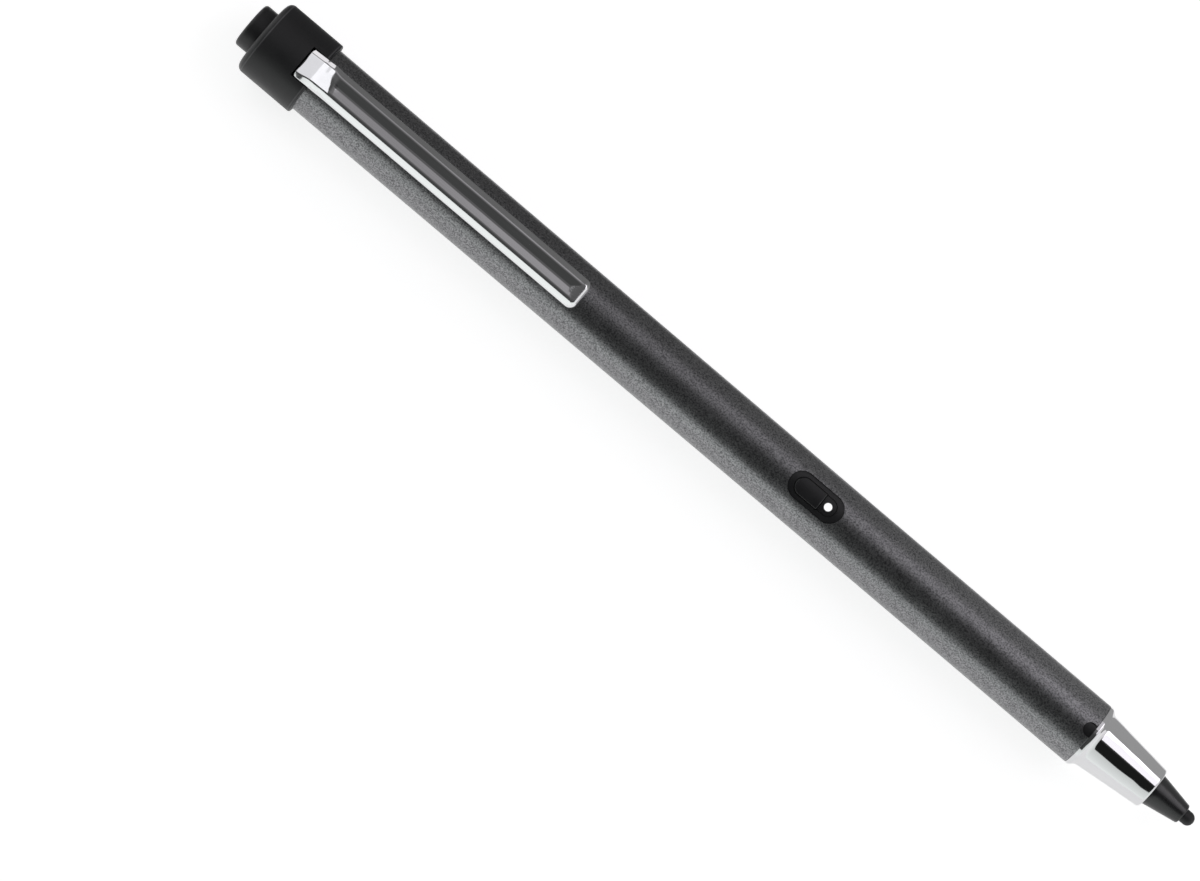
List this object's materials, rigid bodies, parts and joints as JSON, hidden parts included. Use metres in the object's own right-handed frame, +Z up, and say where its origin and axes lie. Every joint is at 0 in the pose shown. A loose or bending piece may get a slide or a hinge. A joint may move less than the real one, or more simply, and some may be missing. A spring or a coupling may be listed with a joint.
{
  "type": "stylus pen",
  "caption": "Slim battery stylus pen with a dark metal barrel, bright clip and nose, sprung nib, side button with indicator light and a push switch in its pull-off tail cap.",
  "frame": {"origin": "middle of the pen's length, on the surface that the tail cap lies on", "axes": "+X along the pen towards the nib, +Z up on the side of the clip and the side button"},
  "size_m": [0.1566, 0.0108, 0.0117],
  "materials": {
    "barrel": "dark grey metallic coat with a fine grain, satin",
    "cap_plastic": "black satin moulding",
    "button_plastic": "black satin moulding",
    "key_plastic": "black, half gloss",
    "light": "white translucent",
    "bright_plate": "bright chrome plate",
    "tip_plastic": "black satin moulding",
    "nib_rubber": "dark conductive rubber",
    "spring_steel": "bright drawn wire",
    "contact_brass": "plain brass",
    "seal_rubber": "black rubber",
    "board": "green solder resist",
    "component": "black moulded package",
    "capacitor": "tan ceramic",
    "switch_plastic": "dark grey moulding",
    "plunger_plastic": "ivory moulding",
    "cell_can": "plated can, density near that of a whole cell",
    "cell_wrap": "plain printed shrink wrap",
    "chassis_plastic": "dark grey moulding",
    "screw_steel": "plated steel"
  },
  "bodies": {
    "barrel": {"barrel": "barrel", "button_bezel": "key_plastic", "light_pipe": "light", "nose_cone": "bright_plate", "nose_key": "key_plastic", "tip_holder": "tip_plastic", "nib_guide": "chassis_plastic", "tip_sensor": "component", "battery_can": "cell_can", "battery_wrap": "cell_wrap", "battery_contact": "contact_brass", "chassis": "chassis_plastic", "main_board": "board", "board_screws": "screw_steel", "controller_chip": "component", "boost_coil": "component", "board_capacitors": "capacitor", "ground_leaf": "contact_brass", "side_switch_body": "switch_plastic", "indicator_led": "light"},
    "cap": {"tail_cap": "cap_plastic", "switch_carrier": "chassis_plastic", "cap_seal": "seal_rubber", "tail_switch_board": "board", "tail_switch_body": "switch_plastic", "battery_spring": "spring_steel", "tail_button_spring": "spring_steel"},
    "tail_button": {"tail_button": "button_plastic", "tail_switch_plunger": "plunger_plastic"},
    "clip": {"clip": "bright_plate"},
    "side_button": {"side_button": "key_plastic", "side_switch_plunger": "plunger_plastic"},
    "nib": {"nib": "nib_rubber", "nib_socket": "contact_brass", "nib_shaft": "contact_brass", "nib_spring": "spring_steel"}
  },
  "joints": [
    {"name": "cap_pull", "type": "slide", "parent": "barrel", "child": "cap", "axis": [-1, 0, 0], "range_m": [0, 0.014]},
    {"name": "clip_flex", "type": "hinge", "parent": "cap", "child": "clip", "pos_m": [-0.07, 0, 0.00962], "axis": [0, -1, 0], "range_deg": [0, 4], "stiffness_Nm_per_rad": 3},
    {"name": "tail_button_press", "type": "slide", "parent": "cap", "child": "tail_button", "axis": [1, 0, 0], "range_m": [0, 0.0008], "stiffness_N_per_m": 1500, "springref_m": -0.0004, "deforming": ["tail_button_spring"]},
    {"name": "side_button_press", "type": "slide", "parent": "barrel", "child": "side_button", "axis": [0, 0, -1], "range_m": [0, 0.00035], "stiffness_N_per_m": 3000, "springref_m": -0.0002},
    {"name": "nib_press", "type": "slide", "parent": "barrel", "child": "nib", "axis": [-1, 0, 0], "range_m": [0, 0.00035], "stiffness_N_per_m": 1500, "springref_m": -0.0003, "deforming": ["nib_spring"]}
  ]
}
